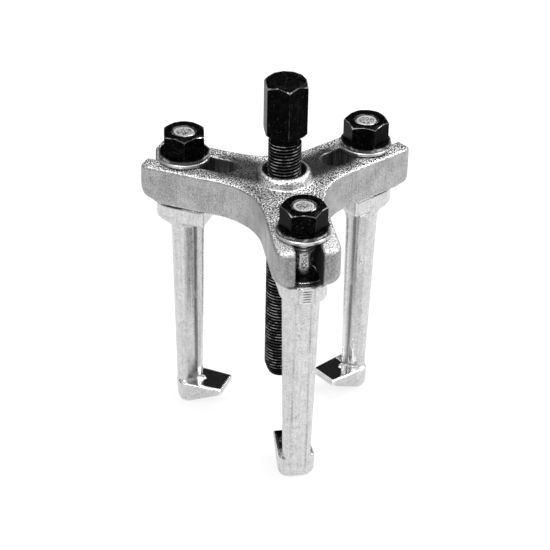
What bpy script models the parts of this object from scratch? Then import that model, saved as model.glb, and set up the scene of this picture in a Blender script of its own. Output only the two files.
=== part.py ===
"""Three-jaw gear puller: slotted yoke, forcing screw with a swivelling pressure tip, and three jaws on studs.

Metres, +Z up. The origin is the centre of the pressure tip's bearing face, on the screw's axis.
"""
import math

import bmesh
import bpy
from mathutils import Matrix, Vector

# ---- Driving dimensions (metres and degrees) ----

RUNNING_GAP = 0.0003          # clearance between pieces that touch or turn on each other
OVERLAP = 0.0020              # how far cutters and joined solids reach past a face
FINE_EDGE = 0.0002            # small turned or pressed edge

# Forcing screw, M14 x 1.5 with a hexagon head
SCREW_DIAMETER = 0.0140
SCREW_BELOW_YOKE = 0.0806     # bearing face of the tip to the yoke's underside, as stored
HEX_ACROSS_FLATS = 0.0170
HEX_HEIGHT = 0.0243
HEX_ABOVE_BOSS = 0.0171       # free thread and neck between boss and hexagon, as stored
HEX_TOP_CHAMFER = 0.0022
HEX_HEADING = 28.7            # one corner of the hexagon, degrees
CHAMFER_INSET = 0.0005        # turned top face of a hexagon, inside its flats
NECK_DIAMETER = 0.0128
NECK_HEIGHT = 0.0030
NECK_RUNOUT = 0.0005
SCREW_END_TAPER = 0.0025
SCREW_END_DIAMETER = 0.0122
SCREW_SIDES = 48
STUD_SIDES = 32

# Pressure tip that swivels in the screw's end
TIP_HEIGHT = 0.0022
TIP_FACE_DIAMETER = 0.0102
TIP_STEM_DIAMETER = 0.0040
TIP_STEM_LENGTH = 0.0060

# Yoke with three slotted arms
ARM_REACH = 0.0614            # screw axis to the arm's end face
ARM_CORNER_RADIUS = 0.0045
PRONG_WIDTH = 0.0080
SLOT_CLEARANCE = 0.0005       # each side of the stud
SLOT_START = 0.0215           # screw axis to the slot's closed end
YOKE_THICKNESS = 0.0173
WEB_RADIUS = 0.0310           # hollow side between two arms
TOP_EDGE_RADIUS = 0.0012
UNDER_EDGE_RADIUS = 0.0010
ARM_HEEL_RADIUS = 0.0044      # lower outer edge of each arm
ARM_BROW_RADIUS = 0.0030      # upper outer edge of each arm
BOSS_RADIUS = 0.0120
BOSS_HEIGHT = 0.0045
BOSS_WALL = 0.0006            # upright foot of the boss, below its domed shoulder
BOSS_RIM = 0.0003             # flat between the shoulder and the countersink
COUNTERSINK_DEPTH = 0.0021
UNDER_COUNTERSINK = 0.0010

# Studs, washers and flange nuts, M10
STUD_DIAMETER = 0.0100
STUD_SET_BACK = 0.0159        # arm's end face to the stud's axis, as stored
STUD_SHANK_DIAMETER = 0.0078
STUD_THREAD_SET_DOWN = 0.0008 # end of the lower thread, below the jaw's seat
STUD_SHANK_HEIGHT = 0.0098
STUD_FLAT_DEPTH = 0.0004
STUD_FLAT_BASE = 0.0029       # above the jaw's seat
STUD_FLAT_HEIGHT = 0.0067
STUD_SOCKET_DEPTH = 0.0072
STUD_END_CHAMFER = 0.0008
STUD_RECESS = 0.0008          # stud's end below the nut's top face
WASHER_MARGIN = 0.0004        # washer radius beyond the nut's flange
WASHER_THICKNESS = 0.0017
WASHER_CHAMFER = 0.0003
NUT_ACROSS_FLATS = 0.0170
NUT_HEIGHT = 0.0110
NUT_FLANGE_RADIUS = 0.0109
NUT_FLANGE_RIM = 0.0008
NUT_FLANGE_SLOPE = 0.0009
NUT_FLANGE_INSET = 0.0010     # inner end of the flange's slope, inside the flats
NUT_CHAMFER = 0.0012
NUT_COUNTERSINK = 0.0008
NUT_HEADINGS = {"front": 19.0, "right": 11.0, "left": 53.5}

# Jaws, forged in one piece with their head and foot
JAW_REACH = 0.0947            # yoke's underside to the hook face
SEAT_RADIUS = 0.0099
SEAT_HEIGHT = 0.0012
HEAD_HALF_WIDTH = 0.0100
HEAD_INNER = 0.0128           # stud axis to the head's inner end
HEAD_OUTER = 0.0119           # stud axis to the head's outer end
HEAD_HEIGHT = 0.0100
HEAD_SQUARENESS = 0.84        # 1 for a round outer end, less for fuller corners
HEAD_CORNER = 0.0010
HEAD_TOP_EDGE = 0.0007
HEAD_LOWER_EDGE = 0.0016
HEAD_TO_LEG = 0.0040          # height of the blend under the head
LEG_TOP_WIDTH = 0.0162
LEG_FOOT_WIDTH = 0.0127
LEG_OUTER_TOP = 0.0051        # stud axis to the leg's outer face, under the head
LEG_OUTER_FOOT = 0.0030       # the same at the foot
LEG_INNER = 0.0056
LEG_TAPER = 0.42              # width of the inner face, as a share of the leg's width
LEG_SHOULDER = 0.0026         # stud axis inwards to the leg's widest line
LEG_DRAFT = 0.0006            # draw-in of each side from there to the outer facets
LEG_CREST_WIDTH = 0.0066      # flat strip along the outer face
LEG_FACET_DEPTH = 0.0026
LEG_EASING = 0.0013
LEG_EDGE = 0.0009
RIB_TOP_WIDTH = 0.0032
RIB_FOOT_WIDTH = 0.0018
RIB_TOP_PROUD = 0.0036
RIB_FOOT_PROUD = 0.0030
RIB_TOP_FLARE = 0.0038
RIB_FLARE_HEIGHT = 0.0062
FOOT_FILLET = 0.0018
FOOT_TIP = 0.0199             # stud axis to the hook's tip
FOOT_TIP_WIDTH = 0.0144
FOOT_HEEL_WIDTH = 0.0160
FOOT_TOP_EDGE = 0.0006
FOOT_TIP_THICKNESS = 0.0028
FOOT_THICKNESS = 0.0111
FOOT_CORNER = 0.0040
FOOT_BELLY = 0.62             # fullness of the slope between tip and heel, 0 to 1
HEEL_RADIUS = 0.0038
HEEL_DRAFT = 0.0010           # how far the heel's outer face draws in below its lip
HEEL_ROUNDING = 0.0045        # narrowing of the heel towards its outer face
HEEL_LIP = 0.0024             # upright part of the heel's outer face

# Widening and depth of the blend from head to leg, each as a share of the whole
HEAD_BLEND = ((0.62, 0.06), (0.30, 0.28), (0.08, 0.64), (0.0, 1.0))

ARM_NAMES = ("front", "right", "left")
ARM_HEADINGS = (-90.0, 30.0, 150.0)

# ---- Values that follow from them ----

screw_radius = SCREW_DIAMETER / 2
bore_radius = screw_radius + RUNNING_GAP
stud_radius = STUD_DIAMETER / 2
stud_hole_radius = stud_radius + RUNNING_GAP
stud_radial = ARM_REACH - STUD_SET_BACK
slot_half_width = stud_radius + SLOT_CLEARANCE
arm_half_width = slot_half_width + PRONG_WIDTH
yoke_under = SCREW_BELOW_YOKE
yoke_top = yoke_under + YOKE_THICKNESS
boss_top = yoke_top + BOSS_HEIGHT
hex_base = boss_top + HEX_ABOVE_BOSS
washer_base = YOKE_THICKNESS + RUNNING_GAP
washer_radius = NUT_FLANGE_RADIUS + WASHER_MARGIN
nut_base = washer_base + WASHER_THICKNESS + RUNNING_GAP
nut_top = nut_base + NUT_HEIGHT
head_top = -RUNNING_GAP
head_low = head_top - HEAD_HEIGHT
hook_face = -JAW_REACH
foot_low = hook_face - FOOT_THICKNESS


# ---- Modelling helpers ----

def clear_scene():
    for old in list(bpy.data.objects):
        bpy.data.objects.remove(old, do_unlink=True)


def make_material(name, colour, roughness, metallic):
    material = bpy.data.materials.new(name)
    material.use_nodes = True
    shader = material.node_tree.nodes["Principled BSDF"]
    shader.inputs["Base Color"].default_value = (*colour, 1.0)
    shader.inputs["Roughness"].default_value = roughness
    shader.inputs["Metallic"].default_value = metallic
    return material


def finish_mesh(bm, name):
    """Turn a bmesh into a mesh with merged points and outward faces."""
    bmesh.ops.remove_doubles(bm, verts=bm.verts, dist=1e-7)
    bmesh.ops.recalc_face_normals(bm, faces=bm.faces)
    mesh = bpy.data.meshes.new(name)
    bm.to_mesh(mesh)
    bm.free()
    return mesh


def arc(centre_x, centre_y, radius, start, end, steps):
    """Points on an arc, angles in degrees, both ends included."""
    points = []
    for i in range(steps + 1):
        angle = math.radians(start + (end - start) * i / steps)
        points.append((centre_x + radius * math.cos(angle), centre_y + radius * math.sin(angle)))
    return points


def eased(before, corner, after, reach):
    """Three points that round off a corner, the outer two a reach away from it."""
    corner = Vector(corner)
    start = corner + (Vector(before) - corner).normalized() * reach
    end = corner + (Vector(after) - corner).normalized() * reach
    return [tuple(start), tuple(corner / 2 + (start + end) / 4), tuple(end)]


def turned(name, profile, sides):
    """Solid of revolution about Z from (radius, z) points; a profile off the axis is closed into a ring."""
    bm = bmesh.new()
    verts = [bm.verts.new((radius, 0.0, z)) for radius, z in profile]
    edges = [bm.edges.new(pair) for pair in zip(verts, verts[1:])]
    if min(profile[0][0], profile[-1][0]) > 0.0:
        edges.append(bm.edges.new((verts[-1], verts[0])))
    bmesh.ops.spin(bm, geom=verts + edges, cent=(0, 0, 0), axis=(0, 0, 1), angle=2 * math.pi,
                   steps=sides, use_merge=True)
    return finish_mesh(bm, name)


def prism(name, outline, low, high):
    """Straight-sided solid from an (x, y) outline between two heights."""
    bm = bmesh.new()
    base = bm.faces.new([bm.verts.new((x, y, low)) for x, y in outline])
    raised = bmesh.ops.extrude_face_region(bm, geom=[base])["geom"]
    moved = [item for item in raised if isinstance(item, bmesh.types.BMVert)]
    bmesh.ops.translate(bm, verts=moved, vec=(0, 0, high - low))
    return finish_mesh(bm, name)


def lofted(name, sections):
    """Closed skin over sections that all have the same number of points."""
    bm = bmesh.new()
    rings = [[bm.verts.new(point) for point in section] for section in sections]
    for ring, following in zip(rings, rings[1:]):
        for i in range(len(ring)):
            j = (i + 1) % len(ring)
            bm.faces.new((ring[i], ring[j], following[j], following[i]))
    bm.faces.new(rings[0])
    bm.faces.new(rings[-1])
    return finish_mesh(bm, name)


def carved(name, base, steps):
    """Apply exact Booleans in turn to a mesh; steps are (operation, mesh) pairs."""
    holder = bpy.data.objects.new(name, base)
    bpy.context.collection.objects.link(holder)
    helpers = []
    for operation, mesh in steps:
        helper = bpy.data.objects.new(name + "_helper", mesh)
        bpy.context.collection.objects.link(helper)
        helpers.append(helper)
        modifier = holder.modifiers.new(operation.lower(), "BOOLEAN")
        modifier.operation = operation
        modifier.solver = "EXACT"
        modifier.object = helper
    evaluated = holder.evaluated_get(bpy.context.evaluated_depsgraph_get())
    result = bpy.data.meshes.new_from_object(evaluated)
    result.name = name
    for helper in helpers + [holder]:
        bpy.data.objects.remove(helper, do_unlink=True)
    return result


def place(name, mesh, material, parent=None, smooth=False):
    piece = bpy.data.objects.new(name, mesh)
    bpy.context.collection.objects.link(piece)
    piece.data.materials.clear()
    piece.data.materials.append(material)
    if smooth:
        mesh.shade_smooth()
        mesh.set_sharp_from_angle(angle=math.radians(30))
    piece.parent = parent
    return piece


def chamfered_hexagon(across_flats, low, high, chamfer, heading):
    """Hexagon whose top corners are turned off to a cone, as on nuts and bolt heads."""
    corner = across_flats / math.sqrt(3)
    outline = []
    for i in range(6):
        angle = math.radians(heading + 60 * i)
        outline.append((corner * math.cos(angle), corner * math.sin(angle)))
    top_radius = across_flats / 2 - CHAMFER_INSET
    spread = corner - top_radius
    cone = [(0, low - OVERLAP), (corner + spread, low - OVERLAP), (corner + spread, high - 2 * chamfer),
            (top_radius, high), (0, high)]
    blank = prism("hexagon", outline, low, high + OVERLAP)
    return carved("hexagon_head", blank, [("INTERSECT", turned("cone", cone, SCREW_SIDES))])


# ---- Yoke ----

def yoke_outline(inset, z):
    """Plan of the three arms with rounded ends, joined by hollow webs, drawn in by an inset."""
    half_turn = math.radians(180 / len(ARM_HEADINGS))
    web_distance = (arm_half_width + WEB_RADIUS) / math.sin(half_turn)
    web_x = web_distance * math.cos(half_turn)
    web_y = web_distance * math.sin(half_turn)
    web_sweep = 180 - 360 / len(ARM_HEADINGS)
    corner_x = ARM_REACH - ARM_CORNER_RADIUS
    corner_y = arm_half_width - ARM_CORNER_RADIUS
    arm = arc(corner_x, -corner_y, ARM_CORNER_RADIUS - inset, -90, 0, 4)
    arm += arc(corner_x, corner_y, ARM_CORNER_RADIUS - inset, 0, 90, 4)
    arm += arc(web_x, web_y, WEB_RADIUS + inset, -90, -90 - web_sweep, 10)
    points = []
    for heading in ARM_HEADINGS:
        turn = Matrix.Rotation(math.radians(heading), 2)
        points += [(*(turn @ Vector(point)), z) for point in arm]
    return points


def yoke_blank():
    """Forged body with rounded top and lower edges."""
    lower = arc(UNDER_EDGE_RADIUS, yoke_under + UNDER_EDGE_RADIUS, UNDER_EDGE_RADIUS, -90, -180, 3)
    upper = arc(TOP_EDGE_RADIUS, yoke_top - TOP_EDGE_RADIUS, TOP_EDGE_RADIUS, 180, 90, 3)
    return lofted("yoke_blank", [yoke_outline(inset, z) for inset, z in lower + upper])


def slot_cutter(heading):
    """Slot with a round closed end, open at the arm's outer end."""
    outline = arc(SLOT_START + slot_half_width, 0, slot_half_width, 90, 270, 12)
    outline += [(ARM_REACH + OVERLAP, -slot_half_width), (ARM_REACH + OVERLAP, slot_half_width)]
    mesh = prism("slot", outline, yoke_under - OVERLAP, yoke_top + OVERLAP)
    mesh.transform(Matrix.Rotation(math.radians(heading), 4, "Z"))
    return mesh


def end_cutter(heading, radius, edge_z, inward):
    """Rounds an arm's outer edge; inward is +1 at the lower edge and -1 at the upper."""
    inner = ARM_REACH - radius
    centre_z = edge_z + inward * radius
    outside_z = edge_z - inward * OVERLAP
    outline = arc(inner, centre_z, radius, -90 * inward, 0, 6)
    outline += [(ARM_REACH + OVERLAP, centre_z), (ARM_REACH + OVERLAP, outside_z), (inner, outside_z)]
    mesh = prism("end_cutter", outline, -arm_half_width - OVERLAP, arm_half_width + OVERLAP)
    mesh.transform(Matrix.Rotation(math.radians(90), 4, "X"))
    mesh.transform(Matrix.Rotation(math.radians(heading), 4, "Z"))
    return mesh


def boss_mesh():
    """Domed ring round the screw: a short upright foot, then an elliptical shoulder."""
    rim_radius = bore_radius + COUNTERSINK_DEPTH + BOSS_RIM
    shoulder_width = BOSS_RADIUS - rim_radius
    shoulder_height = BOSS_HEIGHT - BOSS_WALL
    profile = [(0, yoke_top - OVERLAP), (BOSS_RADIUS, yoke_top - OVERLAP)]
    for across, up in arc(0, 0, 1, 0, 90, 7):
        profile.append((rim_radius + shoulder_width * across, yoke_top + BOSS_WALL + shoulder_height * up))
    profile.append((0, boss_top))
    return turned("boss", profile, SCREW_SIDES)


def bore_cutter():
    """Clear bore for the screw, countersunk at both ends."""
    under_radius = bore_radius + UNDER_COUNTERSINK
    upper_radius = bore_radius + COUNTERSINK_DEPTH
    profile = [(0, yoke_under - OVERLAP), (under_radius + OVERLAP, yoke_under - OVERLAP),
               (bore_radius, yoke_under + UNDER_COUNTERSINK), (bore_radius, boss_top - COUNTERSINK_DEPTH),
               (upper_radius + OVERLAP, boss_top + OVERLAP), (0, boss_top + OVERLAP)]
    return turned("bore", profile, SCREW_SIDES)


def build_yoke(material):
    steps = [("UNION", boss_mesh()), ("DIFFERENCE", bore_cutter())]
    for heading in ARM_HEADINGS:
        steps.append(("DIFFERENCE", slot_cutter(heading)))
        steps.append(("DIFFERENCE", end_cutter(heading, ARM_HEEL_RADIUS, yoke_under, 1)))
        steps.append(("DIFFERENCE", end_cutter(heading, ARM_BROW_RADIUS, yoke_top, -1)))
    place("yoke", carved("yoke", yoke_blank(), steps), material)


# ---- Forcing screw and its tip ----

def build_forcing_screw(material):
    """Screw, neck and hexagon in one piece, with a blind socket for the tip's stem."""
    end = TIP_HEIGHT + RUNNING_GAP
    neck_radius = NECK_DIAMETER / 2
    neck_base = hex_base - NECK_HEIGHT
    profile = [(0, end), (SCREW_END_DIAMETER / 2, end), (screw_radius, end + SCREW_END_TAPER),
               (screw_radius, neck_base - NECK_RUNOUT), (neck_radius, neck_base),
               (neck_radius, hex_base + OVERLAP), (0, hex_base + OVERLAP)]
    head = chamfered_hexagon(HEX_ACROSS_FLATS, hex_base, hex_base + HEX_HEIGHT, HEX_TOP_CHAMFER, HEX_HEADING)
    socket_radius = TIP_STEM_DIAMETER / 2 + RUNNING_GAP
    socket_top = TIP_HEIGHT + TIP_STEM_LENGTH + RUNNING_GAP
    socket = turned("socket", [(0, end - OVERLAP), (socket_radius, end - OVERLAP),
                               (socket_radius, socket_top), (0, socket_top)], STUD_SIDES)
    screw = carved("forcing_screw", turned("shank", profile, SCREW_SIDES),
                   [("UNION", head), ("DIFFERENCE", socket)])
    place("forcing_screw", screw, material, smooth=True)


def build_pressure_tip(material):
    """Short cone that bears on the shaft, with a stem up into the screw."""
    stem_radius = TIP_STEM_DIAMETER / 2
    stem_top = TIP_HEIGHT + TIP_STEM_LENGTH
    profile = [(0, 0), (TIP_FACE_DIAMETER / 2, 0), (SCREW_END_DIAMETER / 2, TIP_HEIGHT),
               (stem_radius, TIP_HEIGHT), (stem_radius, stem_top), (0, stem_top)]
    place("pressure_tip", turned("pressure_tip", profile, SCREW_SIDES), material, smooth=True)


# ---- Jaw: local X points outwards from the stud's axis, Z = 0 is the yoke's underside ----

def head_section(shrink, z):
    """Plan of the head: square inner end, straight sides and a full, round outer end."""
    half = HEAD_HALF_WIDTH - shrink
    inner = shrink - HEAD_INNER
    centre = HEAD_OUTER - HEAD_HALF_WIDTH
    corner = eased((inner, 0), (inner, half), (centre, half), HEAD_CORNER)
    points = list(corner)
    for x, y in arc(0, 0, 1, 90, -90, 17):
        points.append((centre + half * max(x, 0.0) ** HEAD_SQUARENESS,
                       half * math.copysign(abs(y) ** HEAD_SQUARENESS, y)))
    points += [(x, -y) for x, y in reversed(corner)]
    return [(x, y, z) for x, y in points]


def leg_section(width, outer, inner, z):
    """Leg without its rib: flat crest, slanted facets and drafted sides, all with eased corners."""
    half = width / 2
    corners = [(inner, 0), (inner, half * LEG_TAPER), (-LEG_SHOULDER, half),
               (outer - LEG_FACET_DEPTH, half - LEG_DRAFT), (outer, LEG_CREST_WIDTH / 2), (outer, 0)]
    near = []
    for i, reach in enumerate((LEG_EDGE, LEG_EASING, LEG_EASING, LEG_EASING)):
        near += eased(*corners[i:i + 3], reach)
    far = [(x, -y) for x, y in reversed(near)]
    return [(x, y, z) for x, y in near + far]


def jaw_shaft():
    """Head, the blend under it and the tapering leg, down into the foot."""
    ledge = head_top - SEAT_HEIGHT
    sections = [head_section(HEAD_TOP_EDGE, ledge), head_section(0, ledge - HEAD_TOP_EDGE)]
    for shrink, z in arc(HEAD_LOWER_EDGE, head_low + HEAD_LOWER_EDGE, HEAD_LOWER_EDGE, 180, 240, 2):
        sections.append(head_section(shrink, z))
    for share, depth in HEAD_BLEND:
        sections.append(leg_section(LEG_TOP_WIDTH + share * (2 * HEAD_HALF_WIDTH - LEG_TOP_WIDTH),
                                    LEG_OUTER_TOP + share * (HEAD_OUTER - LEG_OUTER_TOP),
                                    -LEG_INNER - share * (HEAD_INNER - LEG_INNER),
                                    head_low - depth * HEAD_TO_LEG))
    sections.append(leg_section(LEG_FOOT_WIDTH, LEG_OUTER_FOOT, -LEG_INNER, hook_face - OVERLAP))
    return lofted("jaw_shaft", sections)


def rib_section(width, proud, z):
    """Plan of the rib, with a round nose and its back inside the leg."""
    half = width / 2
    back = OVERLAP - LEG_INNER
    nose = arc(half - LEG_INNER - proud, 0, half, 90, 270, 6)
    return [(x, y, z) for x, y in [(back, half)] + nose + [(back, -half)]]


def jaw_rib():
    """Narrow rib on the leg's inner face, flared into the head above and the foot below."""
    sections = [rib_section(RIB_TOP_WIDTH, RIB_TOP_PROUD + RIB_TOP_FLARE, head_low + OVERLAP)]
    for share, depth in HEAD_BLEND:
        sections.append(rib_section(RIB_TOP_WIDTH, RIB_TOP_PROUD + share * RIB_TOP_FLARE,
                                    head_low - depth * RIB_FLARE_HEIGHT))
    for inset, z in arc(FOOT_FILLET, hook_face + FOOT_FILLET, FOOT_FILLET, 180, 270, 3):
        sections.append(rib_section(RIB_FOOT_WIDTH, RIB_FOOT_PROUD + inset, z))
    sections.append(rib_section(RIB_FOOT_WIDTH, RIB_FOOT_PROUD + FOOT_FILLET, hook_face - OVERLAP))
    return lofted("jaw_rib", sections)


def foot_section(x, half, low, corner):
    """Cross-section of the foot: crisp hook edges above, rounded corners below."""
    flat = half - FOOT_TOP_EDGE
    edge_z = hook_face - FOOT_TOP_EDGE
    points = [(half, edge_z), (flat, hook_face), (-flat, hook_face), (-half, edge_z)]
    points += arc(corner - half, low + corner, corner, 180, 270, 4)
    points += arc(half - corner, low + corner, corner, 270, 360, 4)
    return [(x, y, z) for y, z in points]


def jaw_foot():
    """Hook: flat top face, thin tip, underside sloping down to a round heel."""
    tip_half = FOOT_TIP_WIDTH / 2
    heel_half = FOOT_HEEL_WIDTH / 2
    tip_low = hook_face - FOOT_TIP_THICKNESS
    belly_x = -FOOT_TIP + FOOT_BELLY * (FOOT_TIP - LEG_INNER)
    belly_half = tip_half + FOOT_BELLY * (heel_half - tip_half)
    belly_low = tip_low + FOOT_BELLY * (foot_low - tip_low)
    sections = [foot_section(-FOOT_TIP, tip_half, tip_low, FOOT_TIP_THICKNESS / 3),
                foot_section(belly_x, belly_half, belly_low, FOOT_CORNER),
                foot_section(FOOT_FILLET - LEG_INNER, heel_half, foot_low, FOOT_CORNER)]
    heel_x = LEG_OUTER_FOOT - HEEL_DRAFT - HEEL_RADIUS
    heel = arc(heel_x, foot_low + HEEL_RADIUS, HEEL_RADIUS, -90, 0, 5)
    heel.append((LEG_OUTER_FOOT, hook_face - HEEL_LIP))
    for x, z in heel:
        narrowing = HEEL_ROUNDING * ((x - heel_x) / (LEG_OUTER_FOOT - heel_x)) ** 2
        corner = min(FOOT_CORNER, (hook_face - z) / 2)
        sections.append(foot_section(x, heel_half - narrowing, z, corner))
    return lofted("jaw_foot", sections)


def jaw_mesh():
    """The whole forging with its turned seat and the socket for the stud."""
    seat_low = head_top - SEAT_HEIGHT - OVERLAP
    seat = turned("seat", [(0, seat_low), (SEAT_RADIUS, seat_low), (SEAT_RADIUS, head_top - FINE_EDGE),
                           (SEAT_RADIUS - FINE_EDGE, head_top), (0, head_top)], SCREW_SIDES)
    socket_low = head_top - STUD_SOCKET_DEPTH
    socket = turned("socket", [(0, socket_low), (stud_hole_radius, socket_low),
                               (stud_hole_radius, head_top + OVERLAP), (0, head_top + OVERLAP)], STUD_SIDES)
    return carved("jaw", jaw_shaft(), [("UNION", jaw_rib()), ("UNION", jaw_foot()), ("UNION", seat),
                                       ("DIFFERENCE", socket)])


# ---- Stud, washer and nut ----

def stud_mesh():
    """Stud with a lower thread in the jaw, a shank with two spanner flats and an upper thread."""
    low = head_top - STUD_SOCKET_DEPTH + RUNNING_GAP
    end = nut_top - STUD_RECESS
    shank_radius = STUD_SHANK_DIAMETER / 2
    thread_top = head_top - STUD_THREAD_SET_DOWN
    point_radius = stud_radius - STUD_END_CHAMFER
    profile = [(0, low), (point_radius, low), (stud_radius, low + STUD_END_CHAMFER),
               (stud_radius, thread_top), (shank_radius, thread_top),
               (shank_radius, STUD_SHANK_HEIGHT), (stud_radius, STUD_SHANK_HEIGHT + STUD_END_CHAMFER),
               (stud_radius, end - STUD_END_CHAMFER), (point_radius, end), (0, end)]
    flat_top = STUD_FLAT_BASE + STUD_FLAT_HEIGHT
    cutters = []
    for side in (1, -1):
        near = side * (shank_radius - STUD_FLAT_DEPTH)
        far = side * (shank_radius + OVERLAP)
        outline = [(near, -stud_radius), (far, -stud_radius), (far, stud_radius), (near, stud_radius)]
        cutters.append(("DIFFERENCE", prism("flat", outline, STUD_FLAT_BASE, flat_top)))
    return carved("stud", turned("stud", profile, STUD_SIDES), cutters)


def washer_mesh():
    low = washer_base
    high = washer_base + WASHER_THICKNESS
    face_radius = washer_radius - WASHER_CHAMFER
    profile = [(stud_hole_radius, low), (face_radius, low), (washer_radius, low + WASHER_CHAMFER),
               (washer_radius, high - WASHER_CHAMFER), (face_radius, high), (stud_hole_radius, high)]
    return turned("washer", profile, SCREW_SIDES)


def nut_mesh(heading):
    """Hexagon nut with a sloping flange, chamfered top and a plain bore in place of its thread."""
    rim_top = nut_base + NUT_FLANGE_RIM
    slope_top = rim_top + NUT_FLANGE_SLOPE
    slope_radius = NUT_ACROSS_FLATS / 2 - NUT_FLANGE_INSET
    flange = turned("flange", [(0, nut_base), (NUT_FLANGE_RADIUS - FINE_EDGE, nut_base),
                               (NUT_FLANGE_RADIUS, nut_base + FINE_EDGE), (NUT_FLANGE_RADIUS, rim_top),
                               (slope_radius, slope_top), (0, slope_top)], SCREW_SIDES)
    body = chamfered_hexagon(NUT_ACROSS_FLATS, nut_base + FINE_EDGE, nut_top, NUT_CHAMFER, heading)
    mouth_radius = stud_hole_radius + NUT_COUNTERSINK
    bore = turned("bore", [(0, nut_base - OVERLAP), (stud_hole_radius, nut_base - OVERLAP),
                           (stud_hole_radius, nut_top - NUT_COUNTERSINK),
                           (mouth_radius + OVERLAP, nut_top + OVERLAP), (0, nut_top + OVERLAP)], STUD_SIDES)
    return carved("nut", flange, [("UNION", body), ("DIFFERENCE", bore)])


def build_arm_set(label, heading, meshes, metals):
    """Everything that hangs on one arm, carried by an empty on the stud's axis."""
    angle = math.radians(heading)
    station = bpy.data.objects.new("station_" + label, None)
    bpy.context.collection.objects.link(station)
    station.location = (stud_radial * math.cos(angle), stud_radial * math.sin(angle), yoke_under)
    station.rotation_euler = (0, 0, angle)
    place("jaw_" + label, meshes["jaw"], metals["jaw"], station)
    place("stud_" + label, meshes["stud"], metals["stud"], station, smooth=True)
    place("washer_" + label, meshes["washer"], metals["washer"], station, smooth=True)
    place("nut_" + label, nut_mesh(NUT_HEADINGS[label]), metals["black"], station)


def build():
    clear_scene()
    metals = {"yoke": make_material("plated_forging", (0.62, 0.62, 0.60), 0.42, 1.0),
              "jaw": make_material("bright_plate", (0.78, 0.78, 0.77), 0.30, 1.0),
              "stud": make_material("zinc_stud", (0.70, 0.70, 0.70), 0.28, 1.0),
              "washer": make_material("zinc_washer", (0.75, 0.75, 0.74), 0.25, 1.0),
              "black": make_material("black_oxide", (0.02, 0.02, 0.022), 0.32, 0.6)}
    build_yoke(metals["yoke"])
    build_forcing_screw(metals["black"])
    build_pressure_tip(metals["black"])
    meshes = {"jaw": jaw_mesh(), "stud": stud_mesh(), "washer": washer_mesh()}
    for label, heading in zip(ARM_NAMES, ARM_HEADINGS):
        build_arm_set(label, heading, meshes, metals)


build()
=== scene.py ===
"""Looks of a three-jaw gear puller: forged yoke and jaws, black forcing screw and flange nuts.

Metres, Z up along the forcing screw, origin on the face of the pressure tip.
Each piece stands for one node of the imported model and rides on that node's body.
"""
import math

import bmesh
import bpy
import numpy as np
from mathutils import Matrix, Vector, noise


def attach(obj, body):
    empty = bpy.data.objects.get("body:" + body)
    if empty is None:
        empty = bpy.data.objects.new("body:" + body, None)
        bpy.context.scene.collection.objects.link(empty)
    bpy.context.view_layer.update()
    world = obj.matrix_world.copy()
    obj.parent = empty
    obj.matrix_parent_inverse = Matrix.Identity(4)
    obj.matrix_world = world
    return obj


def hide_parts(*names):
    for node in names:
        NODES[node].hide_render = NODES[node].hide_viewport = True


# ---- Arms ----
ARM_HEADINGS = {"front": -90.0, "right": 30.0, "left": 150.0}   # degrees from +X
STUD_REACH = 0.0455              # screw axis to each stud's axis
SEAT_LEVEL = 0.0806              # the yoke's underside
TOP_LEVEL = 0.0979               # the yoke's top face

# ---- Hexagons, edges and threads ----
SECTOR = math.radians(60)        # from one corner of a hexagon to the next
TURNED_INSET = 0.0005            # turned end face of a hexagon, inside its flats
SOFT_EDGE = 0.00022              # rounding of the edges of the screw, the tip and the nuts
THREAD_DEPTH = 0.613             # share of the pitch
THREAD_STEPS = (0.10, 0.42, 0.58, 0.90)   # shares of the pitch: root ends, crest begins, ends, root begins
SPARE_TURNS = 3                  # swept past both ends of a thread and cut off again

# ---- Forcing screw ----
SCREW_RADIUS = 0.0070
SCREW_PITCH = 0.0015
SCREW_END = 0.0025               # lower end face
SCREW_END_RADIUS = 0.0061
SCREW_END_TAPER = 0.0025         # height of the taper above that face
NECK_RADIUS = 0.0064
NECK_BASE = 0.1165
NECK_RUNOUT = 0.0005             # end of the thread, below the neck
HEX_BASE = 0.1195
HEX_TOP = 0.1438
HEX_FLATS = 0.0170
HEX_CORNER = 28.7                # heading of one corner, degrees
HEX_TOP_SLOPE = 1.15             # drop of the top chamfer for each unit outwards
HEX_LOW_INSET = -0.0004          # the lower chamfer starts outside the flats
HEX_LOW_SLOPE = 1.10             # rise of the lower chamfer for each unit outwards
HEX_CROWN = 0.00012              # how far the end face falls towards its turned edge
HEX_CROWN_RADIUS = 0.0052
SOCKET_RADIUS = 0.0023           # socket for the tip's stem
SOCKET_TOP = 0.0085
CENTRE_RADIUS = 0.0016           # centre drilling in the hexagon's end
CENTRE_DEPTH = 0.0014

# ---- Pressure tip ----
TIP_FACE_RADIUS = 0.0051
TIP_TOP = 0.0022
TIP_STEM_RADIUS = 0.0020
TIP_STEM_TOP = 0.0082

# ---- Studs ----
STUD_RADIUS = 0.0050
STUD_PITCH = 0.0015
STUD_LOW = 0.0734
STUD_END = 0.1104
STUD_POINT_RADIUS = 0.0042
STUD_END_CHAMFER = 0.0008
STUD_LOW_THREAD_TOP = 0.0795
STUD_SHANK_RADIUS = 0.0039
STUD_SHANK_TOP = 0.0904
STUD_FLAT = 0.0035               # stud axis to each spanner flat
STUD_FLAT_LOW = 0.0835
STUD_FLAT_HIGH = 0.0902
END_GROOVE_RADIUS = 0.0030       # shallow turned ring in the stud's end
END_GROOVE_DEPTH = 0.00010

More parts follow.
